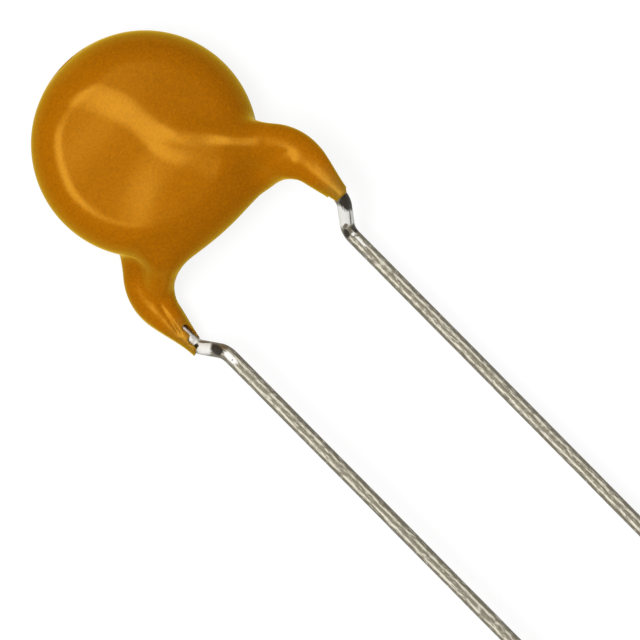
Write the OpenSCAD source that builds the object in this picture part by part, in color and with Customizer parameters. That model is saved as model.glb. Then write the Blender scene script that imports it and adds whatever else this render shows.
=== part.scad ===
// Radial ceramic disc capacitor: a dipped resin body over a silvered ceramic disc, with two
// kinked wire leads. Each lead is soldered to one face of the disc, so that the two cross as
// an X, and the resin runs down both of them as a tapering leg.
//
// The pieces are drawn upright: X across the leads, Y up from the leads to the disc's top and
// Z out of the front face, with the disc's middle plane at Z = 0. lying() then lays the whole
// part on its back, as it comes to rest on a table.

/* [Ceramic disc] */
// Diameter of the ceramic disc
ceramic_d = 8.4; // [7.8:0.1:8.8]
// Thickness of the ceramic disc
ceramic_t = 1.5; // [1:0.1:1.7]
// Sideways offset of the disc from the middle of the leads
disc_shift = 0.1; // [0:0.05:0.2]

/* [Electrodes] */
// Diameter of the silver layer on each face
electrode_d = 7.6; // [6:0.1:7.8]
// Thickness of the silver layer
electrode_t = 0.03; // [0.02:0.01:0.06]

/* [Leads] */
// Diameter of the tinned wire
wire_d = 0.65; // [0.5:0.05:0.7]
// Distance between the two leads below the kinks
lead_pitch = 7.5; // [7:0.1:8]
// Distance between the two leads at the shoulders
leg_pitch = 9.2; // [9:0.1:9.6]
// Inward lean of each lead from its shoulder to the kink
leg_lean = 0.06; // [0:0.01:0.1]
// Height above the disc's centre at which the two leads cross
cross_y = 1.1; // [0.9:0.1:1.4]
// Slope of a lead across the face of the disc
face_slope = 51; // [49:1:53]
// Rise of a lead off the face from its soldered end to its shoulder
lead_lift = 0.3; // [0.2:0.02:0.4]
// Length of lead that lies on the face beyond the crossing
face_tail = 0.4; // [0.2:0.1:1]
// Depth of the kink's upper corner below the disc's centre
kink_top = 7.85; // [7.8:0.05:8.6]
// Distance of that corner in front of the middle plane, for the front lead
kink_out = 1.45; // [1.2:0.05:1.5]
// Height of the kink
kink_drop = 1.1; // [1:0.1:2]
// Length of the straight lead below the kink
lead_length = 25; // [10:1:30]
// Centre-line radius of the bend at the disc's edge
shoulder_bend_r = 2; // [1.4:0.1:2.2]
// Centre-line radius of the two bends of a kink
kink_bend_r = 0.7; // [0.5:0.1:0.8]

/* [Solder] */
// Length of a solder mound along its lead
solder_l = 3.2; // [2.4:0.1:3.6]
// Height of a solder mound above the silver
solder_h = 0.76; // [0.74:0.01:0.78]
// Thickness of the solder under a lead
solder_film = 0.02; // [0.02:0.01:0.05]

/* [Resin on the disc] */
// Outer diameter of the coated disc
coat_d = 9.92; // [9.8:0.02:10.4]
// Thickness of the coated disc where it is thinnest
coat_t = 3.12; // [3.1:0.02:3.3]
// Radius of the rounded rim
rim_r = 1.5; // [1.2:0.05:1.5]
// Height of the step up to the thick part of each face
step_h = 0.14; // [0.06:0.01:0.2]
// Width of that step
step_w = 1.35; // [1:0.05:1.6]
// Sideways offset of the step from the middle of the leads
step_x = 0.58; // [0.5:0.02:0.7]
// Height at which the step turns off along the bottom of the face
low_y = -1.35; // [-1.6:0.05:-1.2]
// Fall of the thin part of each face towards the top
top_fall = 0.1; // [0:0.01:0.14]
// Thickness of the resin over a lead at the disc's edge
ridge_cover = 0.3; // [0.2:0.02:0.4]
// Half width of the ridge over a lead
ridge_w = 0.5; // [0.4:0.05:0.7]

/* [Resin on the legs] */
// Thickness of the resin round a lead at the shoulder, where it leaves the disc
shoulder_cover = 0.52; // [0.45:0.01:0.6]
// Thickness of the film of resin at the end of a leg
tip_cover = 0.04; // [0.03:0.01:0.1]
// Depth below the disc's centre at which the legs begin to taper
taper_top = 5.3; // [5.1:0.1:5.8]
// Depth below the disc's centre at which the front leg ends
front_leg_end = 7.6; // [7.3:0.05:7.65]
// Depth below the disc's centre at which the rear leg ends
rear_leg_end = 7.6; // [7.3:0.05:7.65]
// Slant of the rear leg's torn end
tear_slant = 20; // [0:5:30]
// Width of a leg's resin over its depth at the shoulder
leg_flat = 1.25; // [1.1:0.05:1.3]
// Width of a leg's resin over its depth at the end of the leg
tip_flat = 0.58; // [0.5:0.02:0.8]
// Depth below the disc's centre of the top of the worn slot in the rear leg
slot_top = 6.95; // [6.8:0.05:7.1]
// Depth below the disc's centre of the slot's foot
slot_foot = 7.45; // [7.3:0.05:7.55]
// Width of the slot at its top
slot_w = 0.16; // [0.1:0.02:0.24]
// Width of the slot at its foot
slot_foot_w = 0.32; // [0.2:0.02:0.4]
// Sideways offset of the slot's top towards the middle of the part
slot_shift = 0.12; // [0:0.02:0.14]
// Half thickness of the resin that hangs between the legs
web_r = 0.85; // [0.7:0.05:0.9]
// Depth of that web's centre line below the disc's centre
web_depth = 4.2; // [4.1:0.05:4.4]
// Half thickness of the web where it runs on to a leg
fork_r = 0.56; // [0.5:0.02:0.7]
// Distance over which the resin fills a corner
fillet = 0.7; // [0.5:0.1:0.8]

/* [Rest] */
// Tilt about X that levels the rear face on the table
lie_tilt = 0.1; // [-1:0.05:3]
// Roll on to the shoulder of the rear leg
lie_roll = 4.7; // [0:0.1:8]

/* [Hidden] */
$fn = 48;

disc_r = coat_d / 2;
wire_r = wire_d / 2;
leg_x = leg_pitch / 2;
lead_x = lead_pitch / 2;
// Height of the silver's surface, and of a lead's centre line on it, above the middle plane
silver_z = ceramic_t / 2 + electrode_t;
lead_z = silver_z + solder_film + wire_r;
shoulder_z = lead_z + lead_lift;
// Direction of the front lead across its face, from the soldered end to the shoulder
face_dir = [cos(face_slope), -sin(face_slope), 0];

// Corners of the front lead's centre line, from its soldered end to its free tip, and the
// bend radius at each. The rear lead is the same wire turned half round about the Y axis.
corners = [
    [0, cross_y, lead_z] - face_tail * face_dir,
    [leg_x, cross_y - leg_x * tan(face_slope), shoulder_z],
    [leg_x - leg_lean, -kink_top, kink_out],
    [lead_x, -kink_top - kink_drop, 0],
    [lead_x, -kink_top - kink_drop - lead_length, 0]
];
corner_r = [0, shoulder_bend_r, kink_bend_r, kink_bend_r, 0];
// The bends are a hair thinner than the runs that they join, and lap a short way into them.
// The runs stop just short of the bends, so that no ring of a bend lies in a run's end.
bend_r = wire_r * 0.995;
bend_lap = 0.15;
run_short = 0.03;
bend_steps = 5;
bend_sides = 16;

function unit(v) = v / norm(v);
function mix(a, b, t) = a + (b - a) * t;
function clamp01(t) = max(0, min(1, t));
function ease(t) = let (c = clamp01(t)) c * c * (3 - 2 * c);
function turned(p) = [-p.x, p.y, -p.z];

// ---- Leads

function run_dir(i) = unit(corners[i + 1] - corners[i]);
function turn(i) = corner_r[i] == 0 ? 0 : acos(run_dir(i - 1) * run_dir(i));
function tangent(i) = corner_r[i] * tan(turn(i) / 2);
// Direction from the start of bend i to its centre, and the point at angle a round it
function bend_in(i) = unit(run_dir(i) - run_dir(i - 1) * (run_dir(i - 1) * run_dir(i)));
function bend_centre(i) = corners[i] - run_dir(i - 1) * tangent(i) + bend_in(i) * corner_r[i];
function bend_point(i, a) =
    bend_centre(i) + corner_r[i] * (sin(a) * run_dir(i - 1) - cos(a) * bend_in(i));

// Puts its children in the frame with axes a, b and c at point p
module framed(a, b, c, p)
    multmatrix([[a.x, b.x, c.x, p.x], [a.y, b.y, c.y, p.y], [a.z, b.z, c.z, p.z]]) children();

// A straight run of wire from corner i to the next
module run(i) {
    w = run_dir(i);
    a = unit(cross([0, 0, 1], w));
    from = corner_r[i] == 0 ? 0 : tangent(i) + run_short;
    to = corner_r[i + 1] == 0 ? 0 : tangent(i + 1) + run_short;
    length = norm(corners[i + 1] - corners[i]) - from - to;
    framed(a, cross(w, a), w, corners[i] + w * from) cylinder(r = wire_r, h = length);
}

// The bend at corner i: rings swept round the arc, and a short way into both runs
module bend(i) {
    arc = turn(i);
    axis = cross(-bend_in(i), run_dir(i - 1));
    rings = concat(
        [[bend_point(i, 0) - run_dir(i - 1) * bend_lap, 0]],
        [for (k = [0 : bend_steps]) [bend_point(i, arc * k / bend_steps), arc * k / bend_steps]],
        [[bend_point(i, arc) + run_dir(i) * bend_lap, arc]]
    );
    points = [for (g = rings) let (out = sin(g[1]) * run_dir(i - 1) - cos(g[1]) * bend_in(i))
        for (k = [0 : bend_sides - 1])
            g[0] + bend_r * (cos(360 * k / bend_sides) * out + sin(360 * k / bend_sides) * axis)];
    last = len(rings) - 1;
    polyhedron(points, concat(
        [[for (k = [bend_sides - 1 : -1 : 0]) k]],
        [for (j = [0 : last - 1]) for (k = [0 : bend_sides - 1])
            let (a = j * bend_sides, n = (k + 1) % bend_sides)
            each [[a + k, a + n, a + n + bend_sides], [a + k, a + n + bend_sides, a + k + bend_sides]]],
        [[for (k = [0 : bend_sides - 1]) last * bend_sides + k]]
    ));
}

module wire() {
    for (i = [0 : len(corners) - 2]) run(i);
    for (i = [1 : len(corners) - 2]) bend(i);
}

module front_lead() color("silver") wire();
module rear_lead() color("silver") rotate([0, 180, 0]) wire();

// ---- Ceramic disc, electrodes and solder

module ceramic_disc()
    color("wheat") translate([disc_shift, 0, 0]) cylinder(d = ceramic_d, h = ceramic_t, center = true);

module silver() translate([disc_shift, 0, ceramic_t / 2]) cylinder(d = electrode_d, h = electrode_t);
module front_electrode() color("gainsboro") silver();
module rear_electrode() color("gainsboro") mirror([0, 0, 1]) silver();

// A mound of solder is half of a spindle that lies along the lead on the silver, and reaches
// a little past the lead's end
mound_past = 0.2;
mound_mid = [0, cross_y, silver_z] + face_dir * (solder_l / 2 - face_tail - mound_past);
mound_steps = 10;
module mound(angle)
    framed(cross([0, 0, 1], face_dir), [0, 0, 1], face_dir, mound_mid)
        rotate_extrude(angle = angle) polygon([
            for (k = [0 : mound_steps]) let (t = 180 * k / mound_steps)
                [solder_h * sin(t), -solder_l / 2 * cos(t)]
        ]);
module solder() difference() { mound(180); run(0); }
module front_solder_joint() color("lightgray") solder();
module rear_solder_joint() color("lightgray") rotate([0, 180, 0]) solder();

// ---- Coating

// Distance from p to a round bar from a to b, whose radius goes from ra to rb
function bar(p, a, b, ra, rb) =
    let (ab = b - a, t = clamp01((p - a) * ab / (ab * ab))) norm(p - a - ab * t) - mix(ra, rb, t);
// Union of two shapes with the corner between them filled over the distance k
function blend(a, b, k) = let (h = max(k - abs(a - b), 0) / k) min(a, b) - h * h * k / 4;

// Height of the front face above the middle plane. The resin is thick right of a step that
// runs down the face and bends off to the left at its top, and below a wider step. A ridge
// rises over the lead towards the disc's edge.
step_bend = 0.16;
step_bend_from = 0.6;
low_w = 2;
low_bend = 0.14;
low_end = -5;
low_fade = 3.6;
top_from = 1;
top_w = 3.2;
ridge_from = 0.2;
ridge_to = 0.75;
ridge_shift = 0.4;
ridge_fade = 0.25;
end_xy = [corners[0].x, corners[0].y];
run_xy = [corners[1].x, corners[1].y] - end_xy;
run_l = norm(run_xy);
thick = coat_t / 2 + step_h;
ridge_top = mix(lead_z, shoulder_z, ridge_to) + wire_r + ridge_cover;
function face_height(x, y) =
    let (
        up = max(y - step_bend_from, 0),
        left = min(x, 0),
        step = (x - step_x + step_bend * up * up) / norm([1, 2 * step_bend * up]),
        low = (low_y - low_bend * left * left - y) / norm([1, 2 * low_bend * left]),
        left_of = 1 - ease(step / step_w + 0.5),
        below = ease((x - low_end) / low_fade) * ease(low / low_w + 0.5),
        fall = top_fall * ease((y - top_from) / top_w),
        base = thick - left_of * (step_h * (1 - below) + fall),
        q = [x, y] - end_xy,
        rise = clamp01((q * run_xy / (run_l * run_l) - ridge_from) / (ridge_to - ridge_from)),
        across = (q.x * run_xy.y - q.y * run_xy.x) / run_l - ridge_shift * pow(1 - rise, 2),
        ridge = max(mix(thick, ridge_top, rise) - base, 0)
    )
    base + ridge * exp(-pow(across / ridge_w, 2)) * ease(rise / ridge_fade);

function coated_disc(p) =
    let (
        h = p.z > 0 ? face_height(p.x, p.y) : face_height(-p.x, p.y),
        qr = norm([p.x - disc_shift, p.y]) - (disc_r - rim_r),
        qz = abs(p.z) - (h - rim_r)
    )
    min(max(qr, qz), 0) + norm([max(qr, 0), max(qz, 0)]) - rim_r;

// How far down its taper a leg is at height y, when its end lies at the depth `end`
function taper(y, end) = ease((-y - taper_top) / (end - taper_top));
// Radius of a leg at height y, and of the part of it that grows out of the face at a distance r
// from the disc's centre
edge_cover = 0.12;
edge_from = 2;
edge_to = 4.7;
shoulder_r = wire_r + shoulder_cover;
function leg_radius(y, end) = mix(shoulder_r, wire_r + tip_cover, taper(y, end));
function face_radius(r) =
    mix(wire_r + edge_cover, shoulder_r, ease((r - edge_from) / (edge_to - edge_from)));
// The resin on a leg is wider than it is deep at the shoulder, and deeper than wide at its end
function leg_flatness(y, end) = mix(leg_flat, tip_flat, taper(y, end));
function squeezed(p) = [p.x, p.y, p.z * leg_flat];
// A leg runs along the face, round the shoulder and down to its end. Its resin runs on past
// the cut.
past_end = 0.3;
front_end = front_leg_end + past_end;
rear_end = rear_leg_end + past_end;
// Share of the lead's run across the face at which its leg begins
leg_from = 0.4;
arc_steps = 5;
face_a = squeezed(corners[0]);
face_b = squeezed(bend_point(1, 0));
leg_top = bend_point(1, turn(1));
arc = [for (k = [0 : arc_steps]) squeezed(bend_point(1, turn(1) * k / arc_steps))];
function leg_on_face(q) =
    let (
        ab = face_b - face_a,
        foot = face_a + ab * max(leg_from, min(1, (q - face_a) * ab / (ab * ab)))
    )
    norm(q - foot) - face_radius(norm([foot.x, foot.y]));
function shoulder_bend(q) =
    min([for (k = [1 : arc_steps]) bar(q, arc[k - 1], arc[k], shoulder_r, shoulder_r)]);
function leg_at(y) =
    y > leg_top.y ? mix(shoulder, leg_top, (y - shoulder.y) / (leg_top.y - shoulder.y))
    : mix(leg_top, corners[2], (y - leg_top.y) / (corners[2].y - leg_top.y));
function leg_below(p, end) =
    let (off = p - leg_at(p.y))
    norm([off.x, off.z * leg_flatness(p.y, end)]) - leg_radius(p.y, end);
// Nothing of a leg lies above this height, so that the legs cost no time on the upper disc
leg_limit = -0.5;
function leg(p, end) =
    p.y > leg_limit ? disc_r
    : p.y < leg_top.y ? leg_below(p, end)
    : let (q = squeezed(p))
    min(leg_on_face(q), shoulder_bend(q));

// The web hangs a little lower on the right, and spreads up on to both legs
web_left = [-2.7, 0.15 - web_depth, 0];
web_right = [2.8, -0.1 - web_depth, 0];
front_fork = leg_top + [-0.25, 0.1, 0];
rear_fork = turned(front_fork) + [0, 0.15, 0];
function web(p) = min(
    bar(p, web_left, web_right, web_r, web_r),
    bar(p, web_right, front_fork, web_r, fork_r),
    bar(p, web_left, rear_fork, web_r, fork_r)
);

// Distance from p to the surface of the resin, negative inside
function resin(p) =
    blend(
        blend(coated_disc(p), web(p), fillet),
        min(leg(p, front_end), leg(turned(p), rear_end)),
        fillet
    );

// Distance from c, inside the resin, to its surface along the direction d. The first step is
// cautious, and the later ones take the slope between the last two points within bounds.
accuracy = 0.001;
most_tries = 16;
first_share = 0.8;
least_slope = 0.35;
most_slope = 1.1;
function reach(c, d) =
    let (f = resin(c), first = -first_share * f)
    reach_on(c, d, first, resin(c + d * first), 0, f, most_tries);
function reach_on(c, d, t, f, last_t, last_f, tries) =
    tries == 0 || abs(f) < accuracy ? t
    : let (
        slope = (f - last_f) / max(t - last_t, 1e-6),
        next = t - f / max(least_slope, min(most_slope, slope))
    )
    reach_on(c, d, next, resin(c + d * next), t, f, tries - 1);

// The surface is lofted over ribs that stand on a spine. The spine starts at the disc's centre
// and has a branch down each leg. A rib runs from the front crest above its foot, out to the
// side and back to the rear crest. These are the numbers of stations on each stretch of a
// branch, of ribs that fan round the top of the disc, and of steps along a rib.
n_face = 7;
n_wall = 9;
n_shoulder = 5;
n_leg = 12;
n_fan = 32;
n_rib = 22;
n_branch = n_face + n_wall + n_shoulder + n_leg;
// Distances of the spine's stretches from the disc's centre
wall_s = disc_r - 1.4;
edge_s = disc_r - 0.45;
neck_s = disc_r - 0.1;
shoulder = bend_point(1, turn(1) / 2);
shoulder_s = norm([shoulder.x, shoulder.y]);
// Directions of the ribs: the outer ones at the centre and beyond the face, and the inner ones
// at the centre, the wall, the neck, the shoulder and along a leg
side_a = -8;
outer_a = 20;
inner_a = [-90, -92, -98, -124, -180];
// Heights of the spine's foot at the wall, the edge and the neck
foot_z = [0.05, 0.5, 0.8];
// Steepest lean of the rear ribs on the wall, and their lean at the neck
wall_tilt = 48;
neck_tilt = 20;
// How fast the ribs lean over on the wall and straighten on the shoulder, how the stations
// crowd towards a leg's shoulder, and how fast the outer and inner ribs swing round on a leg
wall_pace = 0.8;
straighten_pace = 1.3;
leg_crowding = 1.15;
outer_pace = 2.2;
inner_pace = 2.4;

// A station is its foot, the directions of its outer and inner rib and the rear ribs' lean
function foot(s, z) = [shoulder.x / shoulder_s * s, shoulder.y / shoulder_s * s, z];
function face_station(u) = [foot(u * wall_s, foot_z[0] * u), mix(side_a, outer_a, u), inner_a[0], 0];
function wall_station(u) =
    [foot(mix(wall_s, edge_s, u), mix(foot_z[0], foot_z[1], u)), outer_a, inner_a[1],
        wall_tilt * pow(u, wall_pace)];
function shoulder_station(u) =
    let (s = mix(neck_s, shoulder_s, (u * n_shoulder - 1) / (n_shoulder - 1)))
    [foot(s, mix(foot_z[2], shoulder.z, u)), outer_a, mix(inner_a[2], inner_a[3], u),
        mix(neck_tilt, 0, min(1, u * straighten_pace))];
function leg_station(u, end, slant) =
    let (
        y = mix(shoulder.y, -end, pow(u, leg_crowding)),
        torn = slant * ease(u * u),
        inner = mix(inner_a[3], inner_a[4] - torn, ease(u * inner_pace))
    )
    [leg_at(y), mix(outer_a, -torn, ease(u * outer_pace)), inner, 0];
function spine(end, slant) = concat(
    [for (i = [0 : n_face]) face_station(i / n_face)],
    [for (i = [1 : n_wall]) wall_station(i / n_wall)],
    [for (i = [1 : n_shoulder]) shoulder_station(i / n_shoulder)],
    [for (i = [1 : n_leg]) leg_station(i / n_leg, end, slant)]
);
front_spine = spine(front_leg_end, 0);
rear_spine = spine(rear_leg_end, tear_slant);

// A rib is its station (negative on the rear leg), foot, side direction, and front and rear axis
forward = [0, 0, 1];
function rib(i, side) =
    let (
        st = i >= 0 ? front_spine[i] : rear_spine[-i],
        a = st[1 + side],
        dir = [cos(a), sin(a), 0],
        rear = foot(sin(st[3]), -cos(st[3]))
    )
    i >= 0 ? [i, st[0], dir, forward, rear] : [i, turned(st[0]), turned(dir), turned(rear), -forward];
function centre_rib(a) = [0, [0, 0, 0], [cos(a), sin(a), 0], forward, -forward];
ribs = concat(
    [for (k = [0 : n_fan]) centre_rib(mix(side_a, 180 - side_a, k / n_fan))],
    [for (i = [1 : n_branch]) rib(-i, 0)],
    [for (i = [n_branch : -1 : 1]) rib(-i, 1)],
    [centre_rib(-90)],
    [for (i = [1 : n_branch]) rib(i, 1)],
    [for (i = [n_branch : -1 : 1]) rib(i, 0)]
);
stations = concat(
    [for (i = [n_branch : -1 : 1]) rib(-i, 0)],
    [centre_rib(0)],
    [for (i = [1 : n_branch]) rib(i, 0)]
);
front_crest = [for (s = stations) reach(s[1], s[3])];
rear_crest = [for (s = stations) reach(s[1], s[4])];
function rib_points(r) =
    let (
        side = reach(r[1], r[2]),
        front = front_crest[r[0] + n_branch],
        rear = rear_crest[r[0] + n_branch]
    )
    [for (j = [1 : n_rib - 1])
        let (
            a = 90 - 180 * j / n_rib,
            d = unit(r[2] * side * cos(a) + (a > 0 ? r[3] * front : r[4] * rear) * abs(sin(a)))
        )
        r[1] + d * reach(r[1], d)];
n_crest = len(stations);
coat_points = concat(
    [for (k = [0 : n_crest - 1]) stations[k][1] + stations[k][3] * front_crest[k]],
    [for (k = [0 : n_crest - 1]) stations[k][1] + stations[k][4] * rear_crest[k]],
    [for (r = ribs) each rib_points(r)],
    [stations[0][1], stations[n_crest - 1][1]]
);
n_points = len(coat_points);
// Number of the point at step j of rib k, and a triangle unless two of its points are one
function at(k, j) =
    j == 0 ? ribs[k][0] + n_branch
    : j == n_rib ? n_crest + ribs[k][0] + n_branch
    : 2 * n_crest + k * (n_rib - 1) + j - 1;
function whole(a, b, c) = a == b || b == c || a == c ? [] : [[a, b, c]];
// The two ribs at a leg's end lie in the plane of its cut, which is closed round their foot
function closes(k, l) = ribs[k][0] == ribs[l][0] && abs(ribs[k][0]) == n_branch;
function cut_faces(k, l, foot) =
    [for (j = [0 : n_rib - 1]) each [[foot, at(k, j + 1), at(k, j)], [foot, at(l, j), at(l, j + 1)]]];
function side_faces(k, l) =
    [for (j = [0 : n_rib - 1])
        each concat(
            whole(at(k, j), at(l, j), at(l, j + 1)),
            whole(at(k, j), at(l, j + 1), at(k, j + 1))
        )];
function end_foot(k) = ribs[k][0] < 0 ? n_points - 2 : n_points - 1;
coat_faces = [for (k = [0 : len(ribs) - 1]) let (l = (k + 1) % len(ribs))
    each closes(k, l) ? cut_faces(k, l, end_foot(k)) : side_faces(k, l)];

// The worn slot in the front of the rear leg that bares the wire: a narrow top and a wide foot
module worn_slot()
    translate([leg_lean - leg_x, 0, 0]) linear_extrude(leg_x) {
        translate([slot_shift, -slot_top]) circle(d = slot_w);
        translate([0, -slot_foot]) circle(d = slot_foot_w);
        polygon([
            [slot_shift - slot_w / 2, -slot_top], [-slot_foot_w / 2, -slot_foot],
            [slot_foot_w / 2, -slot_foot], [slot_shift + slot_w / 2, -slot_top]
        ]);
    }

// What the resin is moulded over, as one solid
module core() {
    ceramic_disc();
    translate([disc_shift, 0, 0]) cylinder(d = electrode_d, h = 2 * silver_z, center = true);
    for (half = [0, 180]) rotate([0, half, 0]) {
        mound(360);
        wire();
    }
}

module coating() {
    color("darkgoldenrod") difference() {
        polyhedron(coat_points, coat_faces, convexity = 6);
        core();
        worn_slot();
    }
}

// ---- Rest

// The point p after the part has been turned to lie on its back
function rolled(p) =
    let (z = p.y * sin(lie_tilt) + p.z * cos(lie_tilt))
    [p.x * cos(lie_roll) + z * sin(lie_roll), p.y * cos(lie_tilt) - p.z * sin(lie_tilt),
        z * cos(lie_roll) - p.x * sin(lie_roll)];
// The outermost points of the part: the resin's skin and the rims of both lead tips
outer_points = concat(
    [for (p = coat_points) rolled(p)],
    [for (x = [-lead_x, lead_x]) for (k = [1 : $fn])
        rolled([x + wire_r * cos(360 * k / $fn), corners[4].y, wire_r * sin(360 * k / $fn)])]
);
low = [for (k = [0 : 2]) min([for (p = outer_points) p[k]])];
high = [for (k = [0 : 2]) max([for (p = outer_points) p[k]])];

// Lays the part on its back, with the origin under the middle of its box
module lying()
    translate([-(low.x + high.x) / 2, -(low.y + high.y) / 2, -low.z])
        rotate([lie_tilt, lie_roll, 0]) children();

lying() coating();
lying() ceramic_disc();
lying() front_electrode();
lying() rear_electrode();
lying() front_solder_joint();
lying() rear_solder_joint();
lying() front_lead();
lying() rear_lead();
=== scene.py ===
"""Ceramic disc capacitor: looks, floor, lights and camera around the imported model."""

import math

import bpy
import numpy as np
from mathutils import Matrix, Vector


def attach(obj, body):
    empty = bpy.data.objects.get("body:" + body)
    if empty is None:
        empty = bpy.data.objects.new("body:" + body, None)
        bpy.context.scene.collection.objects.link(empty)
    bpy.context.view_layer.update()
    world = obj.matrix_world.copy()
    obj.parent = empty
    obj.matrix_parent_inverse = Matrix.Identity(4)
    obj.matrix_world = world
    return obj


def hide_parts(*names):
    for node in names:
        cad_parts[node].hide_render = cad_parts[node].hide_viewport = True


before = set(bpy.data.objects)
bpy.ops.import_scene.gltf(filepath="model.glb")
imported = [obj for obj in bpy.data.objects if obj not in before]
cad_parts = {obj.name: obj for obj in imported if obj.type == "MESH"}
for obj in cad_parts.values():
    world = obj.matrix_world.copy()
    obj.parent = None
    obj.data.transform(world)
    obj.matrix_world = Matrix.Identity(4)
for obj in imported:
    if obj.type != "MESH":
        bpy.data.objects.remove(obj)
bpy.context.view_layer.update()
MM = 0.001

# ---- Sizes in mm, in the part's own upright frame: X across the leads, Y up towards the disc's
# top, Z out of the face that is seen, with the disc's middle plane at Z = 0

# The coated disc: its outline, the radius of its rim and the height of its face
DISC_X = 0.1
DISC_R = 4.958
RIM_R = 1.5
FACE_Z = 1.56

# The front lead. It slopes down over the face, crosses the middle line at CROSS_Y, bends at the
# shoulder, runs down inside its leg, kinks inwards and back, and runs straight to its tip.
WIRE_R = 0.325
CROSS_Y = 1.1
FACE_SLOPE = math.radians(51)
FACE_TAIL = 0.4  # from its soldered end to the middle line
LEG_X = 4.6
LEG_LEAN = 0.06
LEAD_X = 3.75
LEAD_Z = 1.125
SHOULDER_Z = 1.425
LEG_END_Z = 1.45
KINK_TOP = 7.85
KINK_DROP = 1.1
LEAD_LENGTH = 25.0
SHOULDER_BEND_R = 2.0
KINK_BEND_R = 0.7

# How the part lies: a tilt about X, a roll about Y and a shift of the origin
LIE_TILT = math.radians(0.1)
LIE_ROLL = math.radians(4.7)
LIE_SHIFT = np.array([-0.00061, 14.4958, 1.84311])


def lie(points):
    """Points of the upright frame, in mm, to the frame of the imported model, in mm."""
    p = np.asarray(points, float)
    ct, st = math.cos(LIE_TILT), math.sin(LIE_TILT)
    cr, sr = math.cos(LIE_ROLL), math.sin(LIE_ROLL)
    tilt = np.array([[1, 0, 0], [0, ct, -st], [0, st, ct]])
    roll = np.array([[cr, 0, sr], [0, 1, 0], [-sr, 0, cr]])
    return p @ (roll @ tilt).T + LIE_SHIFT


def lie_direction(v):
    return lie(v) - lie((0, 0, 0))


# ---- Small numeric helpers


def ease(t):
    t = np.clip(t, 0.0, 1.0)
    return t * t * (3 - 2 * t)


def mix(a, b, t):
    return a + (b - a) * t


def soft(t, width):
    """t where t is well above 0 and 0 where it is well below, rounded over the width."""
    return 0.5 * (t + np.sqrt(t * t + width * width))


def bell(t, width):
    return np.exp(-((t / width) ** 2))


def blend(a, b, k):
    """Union of two shapes with the corner between them filled over the distance k."""
    h = np.maximum(k - np.abs(a - b), 0) / k
    return np.minimum(a, b) - h * h * k / 4


def lattice_noise(points, seed, period=256):
    """Smooth value noise in [-1, 1] at points of shape (n, 3)."""
    rng = np.random.default_rng(seed)
    table = rng.uniform(-1, 1, period)
    order = rng.permutation(period)
    cell = np.floor(points).astype(int)
    t = points - cell
    t = t * t * t * (t * (t * 6 - 15) + 10)
    total = np.zeros(len(points))
    for dx in (0, 1):
        for dy in (0, 1):
            for dz in (0, 1):
                key = order[(cell[:, 0] + dx) % period]
                key = order[(key + cell[:, 1] + dy) % period]
                key = order[(key + cell[:, 2] + dz) % period]
                weight = (
                    (t[:, 0] if dx else 1 - t[:, 0])
                    * (t[:, 1] if dy else 1 - t[:, 1])
                    * (t[:, 2] if dz else 1 - t[:, 2])
                )
                total += weight * table[key]
    return total


OCTAVE_SHIFT = 17.3


def noise(points, scale, seed, octaves=2):
    """Value noise of several octaves in [-1, 1] at points of shape (..., 3)."""
    p = np.asarray(points, float).reshape(-1, 3) * scale
    total, gain, size = 0.0, 1.0, 0.0
    for k in range(octaves):
        total = total + gain * lattice_noise(p * 2**k + OCTAVE_SHIFT * k, seed + k)
        size += gain
        gain *= 0.5
    return (total / size).reshape(np.asarray(points).shape[:-1])


# ---- The leads' centre lines


def lead_corners():
    """Corners of the front lead's centre line, from its soldered end to its tip."""
    along = np.array([math.cos(FACE_SLOPE), -math.sin(FACE_SLOPE), 0])
    return [
        np.array([0, CROSS_Y, LEAD_Z]) - FACE_TAIL * along,
        np.array([LEG_X, CROSS_Y - LEG_X * math.tan(FACE_SLOPE), SHOULDER_Z]),
        np.array([LEG_X - LEG_LEAN, -KINK_TOP, LEG_END_Z]),
        np.array([LEAD_X, -KINK_TOP - KINK_DROP, 0.0]),
        np.array([LEAD_X, -KINK_TOP - KINK_DROP - LEAD_LENGTH, 0.0]),
    ]


CORNERS = lead_corners()
CORNER_R = [0, SHOULDER_BEND_R, KINK_BEND_R, KINK_BEND_R, 0]


def unit(v):
    return v / np.linalg.norm(v)


def bend_geometry(i):
    """The bend at corner i: the direction before it, inwards to its centre, its centre and turn."""
    before = unit(CORNERS[i] - CORNERS[i - 1])
    after = unit(CORNERS[i + 1] - CORNERS[i])
    turn = math.acos(float(before @ after))
    tangent = CORNER_R[i] * math.tan(turn / 2)
    inward = unit(after - before * (before @ after))
    centre = CORNERS[i] - before * tangent + inward * CORNER_R[i]
    return before, inward, centre, turn


def bend_point(i, share):
    """The point a share of the way round the bend at corner i."""
    before, inward, centre, turn = bend_geometry(i)
    a = turn * share
    return centre + CORNER_R[i] * (math.sin(a) * before - math.cos(a) * inward)


def lead_path(step):
    """Points along the centre line about one step apart."""
    points = [CORNERS[0]]
    for i in (1, 2, 3):
        arc = bend_geometry(i)[3] * CORNER_R[i]
        count = max(3, int(round(arc / step)))
        points += [bend_point(i, k / count) for k in range(count + 1)]
    points.append(CORNERS[4])
    dense = [points[0]]
    for a, b in zip(points, points[1:]):
        count = max(1, int(round(np.linalg.norm(b - a) / step)))
        dense += [mix(a, b, k / count) for k in range(1, count + 1)]
    return np.array(dense)


# ---- The resin, as a distance-like function that is negative inside

# A distance in mm greater than any in the resin
FAR = 9.0

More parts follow.
